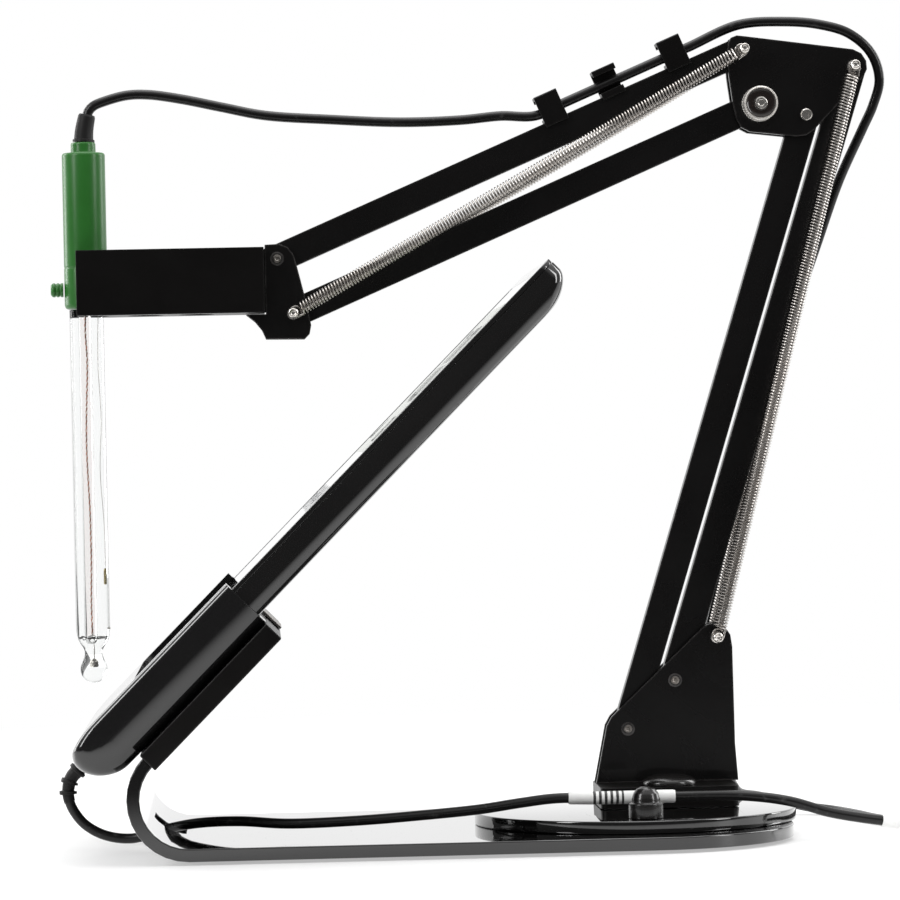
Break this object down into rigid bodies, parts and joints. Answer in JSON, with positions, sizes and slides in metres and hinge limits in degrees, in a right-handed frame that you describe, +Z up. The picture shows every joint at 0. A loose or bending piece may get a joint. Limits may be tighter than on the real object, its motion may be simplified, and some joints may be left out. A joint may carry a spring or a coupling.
{
  "type": "bench ph meter",
  "caption": "Slim bench pH meter reclined in a bent-sheet stand, with a sprung parallelogram arm that holds a glass pH probe.",
  "frame": {"origin": "on the table, under the centre of the round swivel disc", "axes": "+Z up; +X from the user's side of the stand to its back; Y across the stand, with the arm on +Y"},
  "size_m": [0.3146, 0.1481, 0.2881],
  "materials": {
    "acrylic": "gloss",
    "cradle_black": "gloss",
    "satin_black": "satin",
    "arm_black": "satin",
    "nickel": "polished",
    "rubber_black": "matte",
    "probe_green": "satin",
    "probe_glass": "clear",
    "stem_white": "clear",
    "cable_black": "satin",
    "board_green": "satin",
    "lcd": "matte",
    "touch_glass": "gloss",
    "battery_grey": "satin"
  },
  "bodies": {
    "stand": {"stand_plate": "acrylic", "foot_strip_front": "rubber_black", "foot_strip_rear": "rubber_black", "swivel_disc": "acrylic", "cradle_body": "cradle_black", "cradle_sheath": "satin_black", "release_tab": "nickel", "jack_plug": "rubber_black", "cable_base_run": "cable_black"},
    "clamp": {"clamp_knob": "cradle_black"},
    "meter": {"meter_rear_housing": "cradle_black", "meter_front_bezel": "cradle_black", "touch_panel": "touch_glass", "lcd_module": "lcd", "main_pcb": "board_green", "battery_pack": "battery_grey", "jack_socket": "satin_black", "usb_socket": "nickel"},
    "power": {"power_button": "satin_black"},
    "foot": {"foot_block": "satin_black", "foot_plate_near": "arm_black", "foot_plate_far": "arm_black", "swivel_bolt": "cradle_black", "front_foot_rivet": "nickel", "rear_foot_rivet": "nickel", "lower_spring_post": "nickel", "cable_foot_drop": "cable_black"},
    "rear_link": {"rear_lower_bar": "arm_black", "cable_post_run": "cable_black"},
    "front_link": {"front_lower_bar": "arm_black"},
    "knuckle": {"knuckle_plate_near": "arm_black", "knuckle_plate_far": "arm_black", "knuckle_front_screw": "nickel", "knuckle_rear_post": "nickel", "upper_spring_post": "nickel", "cable_knuckle_loop": "cable_black"},
    "tension": {"tension_knob": "cradle_black"},
    "top_link": {"top_upper_bar": "arm_black", "cable_clip_1": "satin_black", "cable_clip_2": "satin_black", "cable_clip_3": "satin_black", "cable_arm_run": "cable_black", "upper_spring_near": "nickel"},
    "bottom_link": {"bottom_upper_bar": "arm_black"},
    "head": {"head_plate_near": "arm_black", "head_plate_far": "arm_black", "head_rivet": "nickel", "head_spring_post": "nickel", "probe_holder": "satin_black"},
    "probe": {"probe_handle": "probe_green", "probe_boot": "rubber_black", "probe_glass": "probe_glass", "probe_inner_stem": "stem_white", "cable_probe_lead": "cable_black"},
    "fill": {"fill_cap": "probe_green"},
    "upper_spring_end": {"upper_spring_far": "nickel"},
    "lower_spring": {"lower_spring_near": "nickel"},
    "lower_spring_end": {"lower_spring_far": "nickel"}
  },
  "joints": [
    {"name": "meter_lift", "type": "slide", "parent": "stand", "child": "meter", "axis": [0.7071, 0, 0.7071], "range_m": [0, 0.026]},
    {"name": "power_press", "type": "slide", "parent": "meter", "child": "power", "axis": [-0.7071, 0, -0.7071], "range_m": [0, 0.0006]},
    {"name": "clamp_turn", "type": "hinge", "parent": "stand", "child": "clamp", "pos_m": [0, -0.045, 0.012], "axis": [0, 0, 1], "range_deg": [-180, 180]},
    {"name": "arm_swivel", "type": "hinge", "parent": "stand", "child": "foot", "pos_m": [0.0124, 0.003, 0.01], "axis": [0, 0, -1], "range_deg": [-20, 60], "deforming": ["cable_base_run", "cable_foot_drop"]},
    {"name": "lower_arm", "type": "hinge", "parent": "foot", "child": "rear_link", "pos_m": [0.0166, 0.0215, 0.0533], "axis": [0, -1, 0], "range_deg": [0, 20], "deforming": ["cable_post_run"]},
    {"name": "lower_front", "type": "hinge", "parent": "foot", "child": "front_link", "pos_m": [-0.0005, 0.0215, 0.0364], "axis": [0, -1, 0], "range_deg": [-0.5, 20.5]},
    {"name": "knuckle_level", "type": "hinge", "parent": "rear_link", "child": "knuckle", "pos_m": [0.0846, 0.0215, 0.2698], "axis": [0, -1, 0], "range_deg": [-20.5, 0.5], "deforming": ["cable_knuckle_loop"]},
    {"name": "tension_turn", "type": "hinge", "parent": "knuckle", "child": "tension", "pos_m": [0.0507, 0.0215, 0.2568], "axis": [0, 1, 0], "range_deg": [-90, 270]},
    {"name": "upper_arm", "type": "hinge", "parent": "knuckle", "child": "top_link", "pos_m": [0.0454, 0.0215, 0.2763], "axis": [0, 1, 0], "range_deg": [0, 40], "deforming": ["cable_arm_run"]},
    {"name": "upper_bottom", "type": "hinge", "parent": "knuckle", "child": "bottom_link", "pos_m": [0.0507, 0.0215, 0.2568], "axis": [0, 1, 0], "range_deg": [-0.5, 40.5]},
    {"name": "head_level", "type": "hinge", "parent": "top_link", "child": "head", "pos_m": [-0.1212, 0.0215, 0.2053], "axis": [0, 1, 0], "range_deg": [-40.5, 0.5], "deforming": ["cable_probe_lead"]},
    {"name": "probe_lift", "type": "slide", "parent": "head", "child": "probe", "axis": [0, 0, 1], "range_m": [0, 0.03]},
    {"name": "fill_cap_pull", "type": "slide", "parent": "probe", "child": "fill", "axis": [-1, 0, 0], "range_m": [0, 0.003]},
    {"name": "upper_spring_stretch", "type": "slide", "parent": "top_link", "child": "upper_spring_end", "axis": [-0.8721, 0, -0.4893], "range_m": [-0.0145, 0.0004], "deforming": ["upper_spring_near", "upper_spring_far"]},
    {"name": "lower_spring_turn", "type": "hinge", "parent": "rear_link", "child": "lower_spring", "pos_m": [0.0846, 0.0215, 0.2698], "axis": [0, -1, 0], "range_deg": [-0.1, 1.8]},
    {"name": "lower_spring_stretch", "type": "slide", "parent": "lower_spring", "child": "lower_spring_end", "axis": [-0.2539, 0, -0.9672], "range_m": [-0.0002, 0.005], "deforming": ["lower_spring_near", "lower_spring_far"]}
  ],
  "couplings": [
    {"joint": "lower_front", "follows": "lower_arm", "ratio": 1},
    {"joint": "knuckle_level", "follows": "lower_arm", "ratio": -1},
    {"joint": "lower_spring_turn", "follows": "lower_arm", "ratio": 0.0788},
    {"joint": "lower_spring_stretch", "follows": "lower_arm", "m_per_rad": 0.01325},
    {"joint": "upper_bottom", "follows": "upper_arm", "ratio": 1},
    {"joint": "head_level", "follows": "upper_arm", "ratio": -1},
    {"joint": "upper_spring_stretch", "follows": "upper_arm", "m_per_rad": -0.0199}
  ]
}
